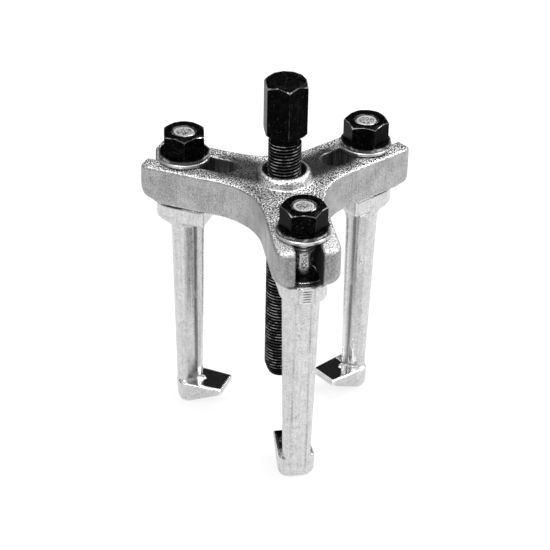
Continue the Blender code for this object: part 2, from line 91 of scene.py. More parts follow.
# ---- Washers and nuts ----
BORE_RADIUS = 0.0053
WASHER_LOW = 0.0982
WASHER_HIGH = 0.0999
WASHER_RADIUS = 0.0113
WASHER_EDGE = 0.0003
NUT_LOW = 0.1002
NUT_HIGH = 0.1112
NUT_FLATS = 0.0170
NUT_FLANGE_RADIUS = 0.0109
NUT_RIM = 0.0008
NUT_FLANGE_SLOPE = 0.265         # rise of the flange for each unit inwards
NUT_TOP_SLOPE = 0.78             # drop of the top chamfer for each unit outwards
NUT_MOUTH = 0.0008
NUT_CORNERS = {"front": -71.0, "right": 41.0, "left": 203.5}    # heading of one corner, degrees

# ---- Yoke ----
BOSS_RADIUS = 0.0120
BOSS_MARGIN = 0.0010             # the boss's foot may spread this far
BOSS_MOUTH_RADIUS = 0.0094       # countersink round the screw
BOSS_GROOVE_LEVEL = 0.0996       # shallow line turned round the boss
BOSS_GROOVE_DEPTH = 0.00016
BOSS_GROOVE_HALF_WIDTH = 0.00045
SLOT_HALF_WIDTH = 0.0055
SLOT_START = 0.0215
RIM_WIDTH = 0.0012               # strip round the slots of the arms with painted shade, where edges stay dark
ARM_END = 0.0614
ARM_HALF_WIDTH = 0.0135
ARM_CORNER = 0.0045              # upright corner radius at an arm's end
ARM_HEEL = 0.0044                # lower edge radius at an arm's end
UNDER_EDGE = 0.0010
HEEL_ROUND = {"front": 0.0056, "right": 0.0030, "left": 0.0062}   # lower corners at each arm's end
HEEL_ROUND_START = 0.0110        # from an arm's end inwards, where that rounding begins and is full
HEEL_ROUND_FULL = 0.0030

# ---- Jaws ----
HOOK_FACE = -0.0141
HOOK_START = 0.0065              # stud axis inwards to the flat part of the hook
RIDGE_PITCH = 0.00120            # grip ridges on the outer face of each jaw's head
RIDGE_DEPTH = 0.00020
RIDGE_HALF_WIDTH = 0.0022
RIDGE_LOW = 0.0712
RIDGE_HIGH = 0.0785
CREST_HALF_WIDTH = 0.0033        # flat strip down the outer face of each leg
FACET_LINE_WIDTH = 0.0007        # dark line along each edge of that strip
LEG_INNER = 0.0056               # stud axis inwards to the rib
HEAD_LOW_LEVEL = 0.0703
SHADOW_LINE = 0.0026               # painted shadow line on the sides of each head, below the yoke
SHADOW_LINE_SIDE = 0.0050

# ---- Painted shade, painted light and wear ----
TOP_SHADE = {"front": 0.0, "right": 1.0, "left": 0.90}    # how much painted shade darkens each arm's top
TOP_SHADE_BEHIND = 0.85              # and the far side of the boss, with the same painted shade
TOP_SHADE_START = 0.0040             # screw axis to the start and the end of that painted shade
TOP_SHADE_END = 0.0300
TOP_SHADE_HALF_WIDTH = 0.0120
TOP_SHADE_FADE = 0.0060
END_LIGHT = {"front": 1.0, "right": 0.0, "left": 0.35}     # how much painted light brightens each arm's end
END_LIGHT_START = 0.0400              # screw axis to where that begins and is full
END_LIGHT_FULL = 0.0480
SLOT_LIGHT = {"front": 0.05, "right": 1.0, "left": 1.0}   # how light each slot's walls stay under their painted shade
LINE_WEAR_AND_HIGHLIGHT = 0.85                 # how far the black is rubbed along a hexagon's turned chamfer, a bright line that is partly a painted highlight
LINE_HALF_WIDTH = 1.8 * SOFT_EDGE
CORNER_WEAR_AND_HIGHLIGHT = 0.57               # along a hexagon's corners, partly a painted highlight
CORNER_ANGLE = 0.02              # half angle counted as a hexagon's corner, radians
CREST_WEAR = 0.72                # on the crests of the screw's thread
CREST_DEPTH = 0.0003
RIM_WEAR = 0.74                  # on the rims of the nuts' flanges
MOUTH_WEAR = 0.66                # in the nuts' mouths
WEAR_CURVATURE = 1500.0          # curvature, per metre, at which a plated edge counts as fully worn
WEAR_SPREAD = 2                  # passes that spread it on the forged pieces

# ---- Fades: from an edge to where its mask starts and stops changing ----
SLOT_SIDE_FADE = (0.0002, 0.0006)
SLOT_END_FADE = (-0.0010, -0.0004)
SLOT_TOP_FADE = (-0.0010, -0.0002)
BOSS_FADE = (0.0, 0.0005)
BORE_FADE = (-0.0001, 0.0002)
ARM_END_FADE = (-0.0006, -0.0001)
RIDGE_FADE = (0.4, 1.1)          # shares of the ridges' half width
RIDGE_FACING = (0.3, 0.6)        # share of the skin's normal that faces outwards
LEG_OUTER_FADE = (0.0018, 0.0028)
RIB_FADE = (0.0, 0.0008)
HOOK_LEVEL_FADE = (0.0002, 0.0005)
HOOK_START_FADE = (-0.0008, 0.0)
SEAT_FADE = (-0.0015, -0.0012)
SHADOW_SIDE_FADE = (0.0, 0.0020)
SHADOW_LOW_FADE = (-0.0004, 0.0)

# ---- Finishes: sizes of grain, lengths of streaks as multiples of it, relief, and tones ----
GRAIN_ROUGHNESS = 0.6
BLAST_GRAIN = 0.00067
SPECK_GRAIN = 0.00055
SHADE_GRAIN = 0.0080
YOKE_STREAKS = (1, 1, 26)
YOKE_RELIEF = 0.00040
# painted shade in the countersink and the bore round the screw
BORE_SHADE = 0.012
PLATE_GRAIN = 0.00060
PLATE_MOTTLE = 0.0030
PLATE_STREAK = 0.0008
PLATE_STREAKS = (1, 1, 30)
PLATE_RELIEF = 0.00016
PIT_GRAIN = 0.00110
WORN_PLATE = 0.84
GROUND_TONE = 0.75
GROUND_ROUGHNESS = 0.07
FOOT_FADE = (0.0020, 0.0050)     # above the hook's face, where the painted shade in creases starts
ZINC_GRAIN = 0.00055
ZINC_CLOUD = 0.0025
ZINC_RELIEF = 0.00010
ZINC_WORN = 0.28                 # how much lighter than its own tone zinc wears
OXIDE_GRAIN = 0.0004
OXIDE_CLOUD = 0.0030
OXIDE_RUB = 0.0036
# size of the light specks on the black: painted glints
OXIDE_GLINT = 0.0005
OXIDE_RELIEF = 0.00006
BARE_STEEL = 0.60

# ---- Mesh fineness ----
SCREW_COLUMNS = 72
TURNED_COLUMNS = 96
CORNER_PULL = 1.8                # crowds a hexagon's columns towards its corners
YOKE_GRAIN = 0.00050             # mesh size of the forged pieces
JAW_GRAIN = 0.00040
FORGED_EASING = 5                # smoothing passes on the forged pieces
FORGE_WAVE = 0.00009             # unevenness that forging leaves
FORGE_WAVE_SIZE = 0.0075
WELD = 0.000002                  # points nearer than this are one
SHARP_ANGLE = 24.0               # edges of grown pieces that bend more are rounded, degrees
SMOOTHED = 38.0                  # faces shade as one where they bend less, degrees
THREAD_SMOOTHED = 52.0           # the same for crests and flanks of the screw
FORGED_SMOOTHED = 180.0          # a forged skin has no sharp edge

# ---- Camera ----
CAMERA_PLACE = (-0.13286, -0.72959, 0.51723)
CAMERA_HEADING = -10.086
CAMERA_ELEVATION = 32.244
CAMERA_ROLL = -1.164
CAMERA_LENS = 132.71
CAMERA_SENSOR = 36.0

# ---- Studio ----
FLOOR_LEVEL = -0.0253
FLOOR_SIZE = 8.0
FLOOR_WHITE = 0.88
FLOOR_GLOW = 0.80                # share of the floor's brightness that no shadow reaches
FLOOR_NEAR = 0.30                # from the middle, where the floor starts to fade to blank white
FLOOR_FAR = 0.90
AMBIENT = 0.55                   # strength of the white world as a light
BAND_TONE = 0.01
BAND_RADIUS = 0.60               # dark band round the studio, seen only in reflections
BAND_LOW = 0.15
BAND_HIGH = 0.50
LIGHT_AIM = (0, 0, 0.06)
SOFTBOXES = {                    # place, width and height, watts
    "key": ((-0.50, -0.70, 0.95), (0.45, 0.40), 9.0),
    "fill": ((0.90, -0.40, 0.65), (0.30, 0.60), 7.0),
    "overhead": ((0.1, 0.25, 1.25), (0.70, 0.50), 8.0),
    "rear": ((0.66, 0.24, 0.91), (0.30, 0.40), 7.0)}


# ---- Placing and finishing ----

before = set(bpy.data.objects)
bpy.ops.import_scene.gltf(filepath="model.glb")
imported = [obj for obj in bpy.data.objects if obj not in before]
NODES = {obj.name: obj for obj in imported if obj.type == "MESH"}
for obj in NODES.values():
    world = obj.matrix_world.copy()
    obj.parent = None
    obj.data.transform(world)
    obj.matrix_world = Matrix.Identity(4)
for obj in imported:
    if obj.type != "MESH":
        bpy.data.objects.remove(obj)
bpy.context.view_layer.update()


def polar(angle, radius, height):
    return Vector((radius * math.cos(angle), radius * math.sin(angle), height))


def edge_turns(mesh):
    """Curvature along each edge, in radians per metre, outward bends positive."""
    count = len(mesh.vertices)
    places = np.empty(count * 3)
    mesh.vertices.foreach_get("co", places)
    places = places.reshape(-1, 3)
    normals = np.empty(count * 3)
    mesh.vertex_normals.foreach_get("vector", normals)
    normals = normals.reshape(-1, 3)
    ends = np.empty(len(mesh.edges) * 2, dtype=np.int64)
    mesh.edges.foreach_get("vertices", ends)
    ends = ends.reshape(-1, 2)
    along = places[ends[:, 1]] - places[ends[:, 0]]
    turn = normals[ends[:, 1]] - normals[ends[:, 0]]
    length = np.maximum((along ** 2).sum(axis=1), WELD ** 2)
    return ends, (along * turn).sum(axis=1) / length


def spread(ends, values, passes):
    """Averages a value on each vertex with its neighbours, this many times."""
    count = len(values)
    share = np.bincount(ends.ravel(), minlength=count).astype(float)
    for _ in range(passes):
        total = np.bincount(ends[:, 0], weights=values[ends[:, 1]], minlength=count)
        total += np.bincount(ends[:, 1], weights=values[ends[:, 0]], minlength=count)
        values = (values + total) / (1 + share)
    return values


def store(mesh, name, values):
    mesh.attributes.new(name, "FLOAT", "POINT").data.foreach_set("value", values)


def record_wear(mesh, passes=0):
    """Stores how sharply each vertex bends out (edge_wear) or in (hollow) for the materials."""
    ends, turns = edge_turns(mesh)
    count = len(mesh.vertices)
    outward = np.zeros(count)
    inward = np.zeros(count)
    for column in (0, 1):
        np.maximum.at(outward, ends[:, column], turns)
        np.maximum.at(inward, ends[:, column], -turns)
    for name, bend in (("edge_wear", outward), ("hollow", inward)):
        values = spread(ends, np.clip(bend / WEAR_CURVATURE, 0.0, 1.0), passes)
        store(mesh, name, values.astype(np.float32))


def mark(mesh, name, rule):
    """Stores a mask on the vertices that the materials read by name."""
    store(mesh, name, [rule(vertex.co) for vertex in mesh.vertices])


def stand_for(name, mesh, body, material, smoothed=SMOOTHED):
    """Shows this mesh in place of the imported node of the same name."""
    mesh.materials.clear()
    mesh.materials.append(material)
    mesh.shade_smooth()
    mesh.set_sharp_from_angle(angle=math.radians(smoothed))
    piece = bpy.data.objects.new(name + "_finished", mesh)
    bpy.context.scene.collection.objects.link(piece)
    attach(piece, body)
    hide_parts(name)
    return piece


def even_normals(piece):
    """Keeps large flats flat in the shading beside their softened edges."""
    weighted = piece.modifiers.new("even_normals", "WEIGHTED_NORMAL")
    weighted.keep_sharp = True


def smooth_step(low, high, value):
    share = min(max((value - low) / (high - low), 0.0), 1.0)
    return share * share * (3 - 2 * share)


def past(edge, fade, value):
    """0 before an edge and 1 past it; fade gives where the change starts and ends, from the edge."""
    return smooth_step(edge + fade[0], edge + fade[1], value)


# ---- Bodies grown ring by ring ----

def ring(radius, height):
    return lambda angle: (angle, radius, height)


def off_corner(angle, corner):
    """Angle past the hexagon's nearest corner; corner is the heading of one of them in degrees."""
    return (angle - math.radians(corner) + SECTOR / 2) % SECTOR - SECTOR / 2


def pulled(angle, corner):
    """Moves an angle towards the hexagon's nearest corner; also gives its distance from there."""
    off = off_corner(angle, corner)
    drawn = math.copysign(SECTOR / 2 * (2 * abs(off) / SECTOR) ** CORNER_PULL, off)
    return angle - off + drawn, abs(drawn)


def hexagon_radius(flats, from_corner):
    return flats / 2 / math.cos(SECTOR / 2 - from_corner)


def hexagon_ring(flats, corner, height_at):
    """height_at gives the height for a radius, so that the ring may follow a cone or a plane."""
    def place(angle):
        drawn, from_corner = pulled(angle, corner)
        radius = hexagon_radius(flats, from_corner)
        return drawn, radius, height_at(radius)
    return place


def flatted_ring(radius, flat, height):
    """Circle with two flats that face along X."""
    def place(angle):
        reach = max(abs(math.cos(angle)), 0.001)
        return angle, min(radius, flat / reach), height
    return place


def is_edge(part):
    return isinstance(part, bmesh.types.BMEdge)


def is_vertex(part):
    return isinstance(part, bmesh.types.BMVert)


def settle(corner, shape):
    angle = math.atan2(corner.co.y, corner.co.x)
    corner.co = polar(*shape(angle))


def grow(bm, loop, shapes):
    """Extrudes an open loop through each ring in turn and returns the last loop."""
    for shape in shapes:
        made = bmesh.ops.extrude_edge_only(bm, edges=loop)["geom"]
        fresh = {part for part in made if is_vertex(part)}
        loop = [part for part in made if is_edge(part) and set(part.verts) <= fresh]
        for corner in fresh:
            settle(corner, shape)
    return loop


def first_ring(bm, columns, heading, shape):
    turn = Matrix.Rotation(math.radians(heading), 4, "Z")
    made = bmesh.ops.create_circle(bm, segments=columns, radius=1.0, matrix=turn)
    for corner in made["verts"]:
        settle(corner, shape)
    return list(bm.edges)


def cap(bm, loop):
    bmesh.ops.contextual_create(bm, geom=loop)


def soften(bm, width, wanted):
    """Rounds the sharp edges that the rule wants."""
    sharp = [edge for edge in bm.edges
             if edge.is_manifold and edge.calc_face_angle() > math.radians(SHARP_ANGLE) and wanted(edge)]
    bmesh.ops.bevel(bm, geom=sharp, offset=width, offset_type="OFFSET", segments=2, profile=0.5,
                    affect="EDGES", material=-1, clamp_overlap=True)


def finished_mesh(bm, name, place=None):
    """Closes a bmesh into a mesh with its normals outwards, moved to its place."""
    bmesh.ops.remove_doubles(bm, verts=bm.verts, dist=WELD)
    bmesh.ops.recalc_face_normals(bm, faces=bm.faces)
    if place is not None:
        bmesh.ops.transform(bm, matrix=place, verts=bm.verts)
    mesh = bpy.data.meshes.new(name)
    bm.to_mesh(mesh)
    bm.free()
    return mesh


def arm_place(label):
    """From a piece on the Z axis, with local X outwards, to its place on an arm."""
    heading = math.radians(ARM_HEADINGS[label])
    return Matrix.Rotation(heading, 4, "Z") @ Matrix.Translation((STUD_REACH, 0, 0))


# ---- Threads ----

def threaded_tube(radius, pitch, low, high, heading, limit):
    """Helical tube, cut square at both ends; limit gives the largest radius at a height.

    Returns the bmesh with its lower and upper loops.
    """
    bm = bmesh.new()
    root = radius - THREAD_DEPTH * pitch
    reaches = (root, root, radius, radius, root, root)
    outline = zip(reaches, (0.0, *THREAD_STEPS, 1.0))
    turns = math.ceil((high - low) / pitch) + SPARE_TURNS
    start = low - SPARE_TURNS / 2 * pitch
    corners = []
    for reach, share in outline:
        corners.append(bm.verts.new(polar(math.radians(heading), reach, start + share * pitch)))
    for near, far in zip(corners, corners[1:]):
        bm.edges.new((near, far))
    bmesh.ops.spin(bm, geom=bm.verts[:] + bm.edges[:], cent=(0, 0, 0), axis=(0, 0, 1),
                   dvec=(0, 0, pitch / SCREW_COLUMNS), angle=math.radians(360 * turns),
                   steps=SCREW_COLUMNS * turns, use_merge=False)
    bmesh.ops.remove_doubles(bm, verts=bm.verts, dist=WELD)
    loops = []
    for height, side in ((low, "clear_inner"), (high, "clear_outer")):
        parts = bm.verts[:] + bm.edges[:] + bm.faces[:]
        cut = bmesh.ops.bisect_plane(bm, geom=parts, dist=WELD / 10, plane_co=(0, 0, height),
                                     plane_no=(0, 0, 1), **{side: True})
        loops.append([part for part in cut["geom_cut"] if is_edge(part)])
    for corner in bm.verts:
        reach = math.hypot(corner.co.x, corner.co.y)
        most = limit(corner.co.z)
        if reach > most:
            corner.co.x *= most / reach
            corner.co.y *= most / reach
    return bm, loops[0], loops[1]


# ---- Turned pieces ----

def chamfer_level(edge, turned, slope):
    """Height of a chamfer cone that meets the end face at the turned radius."""
    return lambda radius: edge - slope * (radius - turned)


def forcing_screw_mesh():
    """Thread with a tapered end and a socket for the tip, a plain neck, and a chamfered hexagon."""
    def taper(height):
        gained = (height - SCREW_END) * (SCREW_RADIUS - SCREW_END_RADIUS) / SCREW_END_TAPER
        return min(SCREW_END_RADIUS + gained, SCREW_RADIUS)

    bm, low, high = threaded_tube(SCREW_RADIUS, SCREW_PITCH, SCREW_END, NECK_BASE - NECK_RUNOUT,
                                  HEX_CORNER, taper)
    turned = HEX_FLATS / 2 - TURNED_INSET
    lower = chamfer_level(HEX_BASE, HEX_FLATS / 2 - HEX_LOW_INSET, -HEX_LOW_SLOPE)
    upper = chamfer_level(HEX_TOP, turned, HEX_TOP_SLOPE)
    support = 2 * SOFT_EDGE

    def underside(radius):
        return max(lower(radius), HEX_BASE)

    top = grow(bm, high, [
        ring(NECK_RADIUS, NECK_BASE),
        ring(NECK_RADIUS, HEX_BASE),
        ring(turned, HEX_BASE),
        hexagon_ring(HEX_FLATS, HEX_CORNER, lambda radius: underside(radius) + SOFT_EDGE),
        hexagon_ring(HEX_FLATS, HEX_CORNER, lambda radius: underside(radius) + 2 * support),
        hexagon_ring(HEX_FLATS, HEX_CORNER, lambda radius: (HEX_BASE + HEX_TOP) / 2),
        hexagon_ring(HEX_FLATS, HEX_CORNER, lambda radius: upper(radius) - support),
        hexagon_ring(HEX_FLATS, HEX_CORNER, upper),
        ring(turned, HEX_TOP - HEX_CROWN),
        ring((turned + HEX_CROWN_RADIUS) / 2, HEX_TOP - HEX_CROWN / 4),
        ring(HEX_CROWN_RADIUS, HEX_TOP),
        ring(CENTRE_RADIUS, HEX_TOP),
        ring(CENTRE_RADIUS / 3, HEX_TOP - CENTRE_DEPTH)])
    cap(bm, top)
    bottom = grow(bm, low, [
        ring(SOCKET_RADIUS, SCREW_END),
        ring(SOCKET_RADIUS, SOCKET_TOP)])
    cap(bm, bottom)
    soften(bm, SOFT_EDGE, lambda edge: min(corner.co.z for corner in edge.verts) > HEX_BASE - WELD)
    return finished_mesh(bm, "forcing_screw_finished")


def pressure_tip_mesh():
    """Short cone whose stem sits in the screw's end."""
    bm = bmesh.new()
    low = first_ring(bm, TURNED_COLUMNS, 0, ring(TIP_FACE_RADIUS, 0))
    top = grow(bm, low, [
        ring(SCREW_END_RADIUS, TIP_TOP),
        ring(TIP_STEM_RADIUS, TIP_TOP),
        ring(TIP_STEM_RADIUS, TIP_STEM_TOP)])
    cap(bm, top)
    cap(bm, low)
    soften(bm, SOFT_EDGE, lambda edge: max(corner.co.z for corner in edge.verts) < TIP_TOP + WELD)
    return finished_mesh(bm, "pressure_tip_finished")


def stud_mesh(place):
    """Stud with a threaded top, a shank with two spanner flats and a plain lower end, of the thread's
    size, inside the jaw.
    """
    def taper(height):
        return min(STUD_POINT_RADIUS + (STUD_END - height), STUD_RADIUS)

    bm, low, high = threaded_tube(STUD_RADIUS, STUD_PITCH, STUD_SHANK_TOP + STUD_END_CHAMFER,
                                  STUD_END, 0, taper)
    hair = 20 * WELD
    end = grow(bm, high, [
        ring(END_GROOVE_RADIUS + 2 * END_GROOVE_DEPTH, STUD_END),
        ring(END_GROOVE_RADIUS + END_GROOVE_DEPTH, STUD_END - END_GROOVE_DEPTH),
        ring(END_GROOVE_RADIUS, STUD_END - END_GROOVE_DEPTH),
        ring(END_GROOVE_RADIUS - END_GROOVE_DEPTH, STUD_END),
        ring(END_GROOVE_RADIUS / 2, STUD_END)])
    cap(bm, end)
    foot = grow(bm, low, [
        ring(STUD_SHANK_RADIUS, STUD_SHANK_TOP),
        ring(STUD_SHANK_RADIUS, STUD_FLAT_HIGH),
        flatted_ring(STUD_SHANK_RADIUS, STUD_FLAT, STUD_FLAT_HIGH - hair),
        flatted_ring(STUD_SHANK_RADIUS, STUD_FLAT, STUD_FLAT_LOW + hair),
        ring(STUD_SHANK_RADIUS, STUD_FLAT_LOW),
        ring(STUD_SHANK_RADIUS, STUD_FLAT_LOW - STUD_END_CHAMFER),
        ring(STUD_SHANK_RADIUS, STUD_LOW_THREAD_TOP),
        ring(STUD_RADIUS, STUD_LOW_THREAD_TOP),
        ring(STUD_RADIUS, STUD_LOW + STUD_END_CHAMFER),
        ring(STUD_POINT_RADIUS, STUD_LOW)])
    cap(bm, foot)
    return finished_mesh(bm, "stud", place)


def washer_mesh(place):
    bm = bmesh.new()
    bore = first_ring(bm, TURNED_COLUMNS, 0, ring(BORE_RADIUS, WASHER_LOW))
    outer = grow(bm, bore, [
        ring(WASHER_RADIUS - WASHER_EDGE, WASHER_LOW),
        ring(WASHER_RADIUS, WASHER_LOW + WASHER_EDGE),
        ring(WASHER_RADIUS, WASHER_LOW + 1.5 * WASHER_EDGE),
        ring(WASHER_RADIUS, WASHER_HIGH - 1.5 * WASHER_EDGE),
        ring(WASHER_RADIUS, WASHER_HIGH - WASHER_EDGE),
        ring(WASHER_RADIUS - WASHER_EDGE, WASHER_HIGH),
        ring(WASHER_RADIUS - 2 * WASHER_EDGE, WASHER_HIGH),
        ring(BORE_RADIUS, WASHER_HIGH)])
    bmesh.ops.bridge_loops(bm, edges=bore + outer)
    return finished_mesh(bm, "washer", place)


def nut_corner(label):
    """Heading of one corner of a nut that still stands on the Z axis, in degrees."""
    return NUT_CORNERS[label] - ARM_HEADINGS[label]


def nut_mesh(label, place):
    """Flange nut: the flange's cone runs into the hexagon, and a turned chamfer cuts its corners."""
    corner = nut_corner(label)
    turned = NUT_FLATS / 2 - TURNED_INSET
    rim_top = NUT_LOW + NUT_RIM
    chamfer = chamfer_level(NUT_HIGH, turned, NUT_TOP_SLOPE)
    support = 2 * SOFT_EDGE

    def flange(radius):
        return rim_top + NUT_FLANGE_SLOPE * (NUT_FLANGE_RADIUS - radius)

    bm = bmesh.new()
    bore = first_ring(bm, TURNED_COLUMNS, corner, ring(BORE_RADIUS, NUT_LOW))
    mouth = grow(bm, bore, [
        ring(NUT_FLANGE_RADIUS, NUT_LOW),
        ring(NUT_FLANGE_RADIUS, rim_top),
        hexagon_ring(NUT_FLATS, corner, flange),
        hexagon_ring(NUT_FLATS, corner, lambda radius: flange(radius) + support),
        hexagon_ring(NUT_FLATS, corner, lambda radius: chamfer(radius) - support),
        hexagon_ring(NUT_FLATS, corner, chamfer),
        ring(turned, NUT_HIGH),
        ring(turned - support, NUT_HIGH),
        ring(BORE_RADIUS + NUT_MOUTH + support, NUT_HIGH),
        ring(BORE_RADIUS + NUT_MOUTH, NUT_HIGH),
        ring(BORE_RADIUS, NUT_HIGH - NUT_MOUTH)])
    bmesh.ops.bridge_loops(bm, edges=bore + mouth)
    soften(bm, SOFT_EDGE, lambda edge: True)
    return finished_mesh(bm, "nut_" + label, place)


# ---- Forged pieces ----

ARM_AXES = {label: polar(math.radians(heading), 1.0, 0.0) for label, heading in ARM_HEADINGS.items()}


def forged_mesh(node, grain):
    """The node's own shape as one even mesh with eased edges."""
    bm = bmesh.new()
    bm.from_mesh(NODES[node].data)
    bmesh.ops.remove_doubles(bm, verts=bm.verts, dist=WELD)
    blank = bpy.data.meshes.new(node + "_blank")
    bm.to_mesh(blank)
    bm.free()
    holder = bpy.data.objects.new(node + "_blank", blank)
    bpy.context.scene.collection.objects.link(holder)
    evened = holder.modifiers.new("even", "REMESH")
    evened.mode = "VOXEL"
    evened.voxel_size = grain
    evened.adaptivity = 0.0
    eased = holder.modifiers.new("ease", "SMOOTH")
    eased.factor = 0.5
    eased.iterations = FORGED_EASING
    graph = bpy.context.evaluated_depsgraph_get()
    mesh = bpy.data.meshes.new_from_object(holder.evaluated_get(graph), depsgraph=graph)
    bpy.data.objects.remove(holder)
    bpy.data.meshes.remove(blank)
    return mesh


def forge_wave(place):
    """How far a forged skin lies below its die face at a place."""
    return FORGE_WAVE * (0.5 + 0.5 * noise.noise(place / FORGE_WAVE_SIZE))


def sculpt(mesh, sink):
    """Sinks each vertex along its normal by what the rule gives."""
    moves = [vertex.normal * -sink(vertex.co, vertex.normal) for vertex in mesh.vertices]
    for vertex, move in zip(mesh.vertices, moves):
        vertex.co += move
    mesh.update()


def arm_local(place):
    """Distance out along the nearest arm, sideways from its middle line, and the arm's name."""
    x, y = place.x, place.y
    return max((x * along.x + y * along.y, y * along.x - x * along.y, label)
               for label, along in ARM_AXES.items())


def fillet_drop(radius, reach):
    """How far a round edge of this radius falls back at a distance past its start."""
    beyond = min(max(reach, 0.0), radius)
    return radius - math.sqrt(radius * radius - beyond * beyond)


def rounded_heel(place):
    """Rounds the lower side edges of an arm more and more towards its end."""
    out, side, label = arm_local(place)
    if out < ARM_END - HEEL_ROUND_START or place.z > SEAT_LEVEL + HEEL_ROUND[label] + ARM_HEEL:
        return place
    grown = smooth_step(ARM_END - HEEL_ROUND_START, ARM_END - HEEL_ROUND_FULL, out)
    radius = UNDER_EDGE + (HEEL_ROUND[label] - UNDER_EDGE) * grown
    half_width = ARM_HALF_WIDTH - fillet_drop(ARM_CORNER, out - ARM_END + ARM_CORNER)
    floor = SEAT_LEVEL + fillet_drop(ARM_HEEL, out - ARM_END + ARM_HEEL)
    beyond = abs(side) - half_width + radius
    down = floor + radius - place.z
    reach = math.hypot(beyond, down)
    if beyond <= 0 or down <= 0 or reach <= radius:
        return place
    along = ARM_AXES[label]
    sideways = Vector((-along.y, along.x, 0)) * math.copysign(1.0, side)
    share = 1 - radius / reach
    return place - sideways * beyond * share + Vector((0, 0, down * share))


def in_slot(place):
    """1 on the walls of an arm's slot, 0 outside."""
    out, side, _ = arm_local(place)
    across = 1 - past(SLOT_HALF_WIDTH, SLOT_SIDE_FADE, abs(side))
    along = past(SLOT_START, SLOT_END_FADE, out)
    below = 1 - past(TOP_LEVEL, SLOT_TOP_FADE, place.z)
    return across * along * below


def on_boss(place):
    """1 on the boss, above the arms' top face."""
    reach = math.hypot(place.x, place.y)
    return past(TOP_LEVEL, BOSS_FADE, place.z) * (reach < BOSS_RADIUS + BOSS_MARGIN)


def in_bore(place):
    """1 in the countersink and the bore round the screw."""
    return 1 - past(BOSS_MOUTH_RADIUS, BORE_FADE, math.hypot(place.x, place.y))


def slot_rim(place):
    """1 on the strip round the slots of the arms with painted shade on top, where edges stay dark."""
    out, side, label = arm_local(place)
    width = SLOT_HALF_WIDTH + RIM_WIDTH
    near = 1 - smooth_step(width - RIM_WIDTH / 2, width, abs(side))
    return near * smooth_step(SLOT_START - 2 * RIM_WIDTH, SLOT_START - RIM_WIDTH, out) * (TOP_SHADE[label] > 0)


def painted_top_shade(place):
    """How far painted shade darkens the top face near the boss, and the far side of the boss."""
    out, side, label = arm_local(place)
    begun = smooth_step(TOP_SHADE_START, TOP_SHADE_START + TOP_SHADE_FADE, out)
    ended = 1 - smooth_step(TOP_SHADE_END, TOP_SHADE_END + TOP_SHADE_FADE, out)
    across = 1 - smooth_step(TOP_SHADE_HALF_WIDTH - TOP_SHADE_FADE, TOP_SHADE_HALF_WIDTH, abs(side))
    behind = on_boss(place) * smooth_step(0.0, BOSS_RADIUS / 2, place.y)
    return max(TOP_SHADE[label] * begun * ended * across, TOP_SHADE_BEHIND * behind)


def painted_end_light(place):
    """How far painted light brightens the end of an arm."""
    out, _, label = arm_local(place)
    return END_LIGHT[label] * smooth_step(END_LIGHT_START, END_LIGHT_FULL, out)


def boss_groove(place):
    """1 in the middle of the line turned round the boss."""
    off = abs(place.z - BOSS_GROOVE_LEVEL) / BOSS_GROOVE_HALF_WIDTH
    return on_boss(place) * (1 - in_bore(place)) * (1 - smooth_step(0.0, 1.0, off))


def on_arm_end(place):
    """1 on the end faces of the arms, which the material darkens a little: painted shade."""
    return past(ARM_END, ARM_END_FADE, arm_local(place)[0])


def yoke_mesh():
    mesh = forged_mesh("yoke", YOKE_GRAIN)

    def sink(place, _normal):
        wave = forge_wave(place) * (1 - in_slot(place))
        return wave + BOSS_GROOVE_DEPTH * boss_groove(place)

    for vertex in mesh.vertices:
        vertex.co = rounded_heel(vertex.co)
    mesh.update()
    sculpt(mesh, sink)
    record_wear(mesh, WEAR_SPREAD)
    mark(mesh, "slot_wall", in_slot)
    mark(mesh, "slot_rim", slot_rim)
    mark(mesh, "lit_end", painted_end_light)
    mark(mesh, "slot_light", lambda place: SLOT_LIGHT[arm_local(place)[2]])
    mark(mesh, "boss_face", on_boss)
    mark(mesh, "arm_end", on_arm_end)
    mark(mesh, "bore_wall", in_bore)
    mark(mesh, "painted_top_shade", painted_top_shade)
    return mesh


def ridges(place, outward):
    """1 on the patch of grip ridges on the front jaw."""
    near, far = (RIDGE_HALF_WIDTH * share for share in RIDGE_FADE)
    across = 1 - smooth_step(near, far, abs(place.x))
    up = smooth_step(RIDGE_LOW, RIDGE_LOW + RIDGE_PITCH / 2, place.z)
    down = 1 - smooth_step(RIDGE_HIGH - RIDGE_PITCH / 2, RIDGE_HIGH, place.z)
    outer = smooth_step(*RIDGE_FACING, outward) * (-place.y > STUD_REACH)
    return across * up * down * outer


def ridge_wave(height):
    """0 on a ridge's crest, 1 between two ridges."""
    return 0.5 - 0.5 * math.cos(math.tau * (height - RIDGE_LOW) / RIDGE_PITCH)


def facet_line(place):
    """1 along the two long edges of the outer face of the front jaw's leg."""
    outer = past(0.0, LEG_OUTER_FADE, -place.y - STUD_REACH)
    return outer * (1 - smooth_step(0.0, FACET_LINE_WIDTH, abs(abs(place.x) - CREST_HALF_WIDTH)))


def on_rib(place):
    """1 on the rib that runs down the inner side of the front jaw, which the material darkens a little:
    painted shade.
    """
    return past(LEG_INNER, RIB_FADE, STUD_REACH + place.y) * (place.z < HEAD_LOW_LEVEL)


def on_hook(place):
    """1 on the ground face of the front jaw's hook."""
    inward = past(HOOK_START, HOOK_START_FADE, STUD_REACH + place.y)
    return inward * (1 - past(0.0, HOOK_LEVEL_FADE, abs(place.z - HOOK_FACE)))


def on_seat(place):
    """1 on the turned seat on top of the front jaw's head and on a line just below the yoke, which the
    material darkens: painted shade and a painted shadow.
    """
    beside = past(SHADOW_LINE_SIDE, SHADOW_SIDE_FADE, abs(place.x))
    below_yoke = past(SEAT_LEVEL - SHADOW_LINE, SHADOW_LOW_FADE, place.z)
    return max(past(SEAT_LEVEL, SEAT_FADE, place.z), beside * below_yoke)


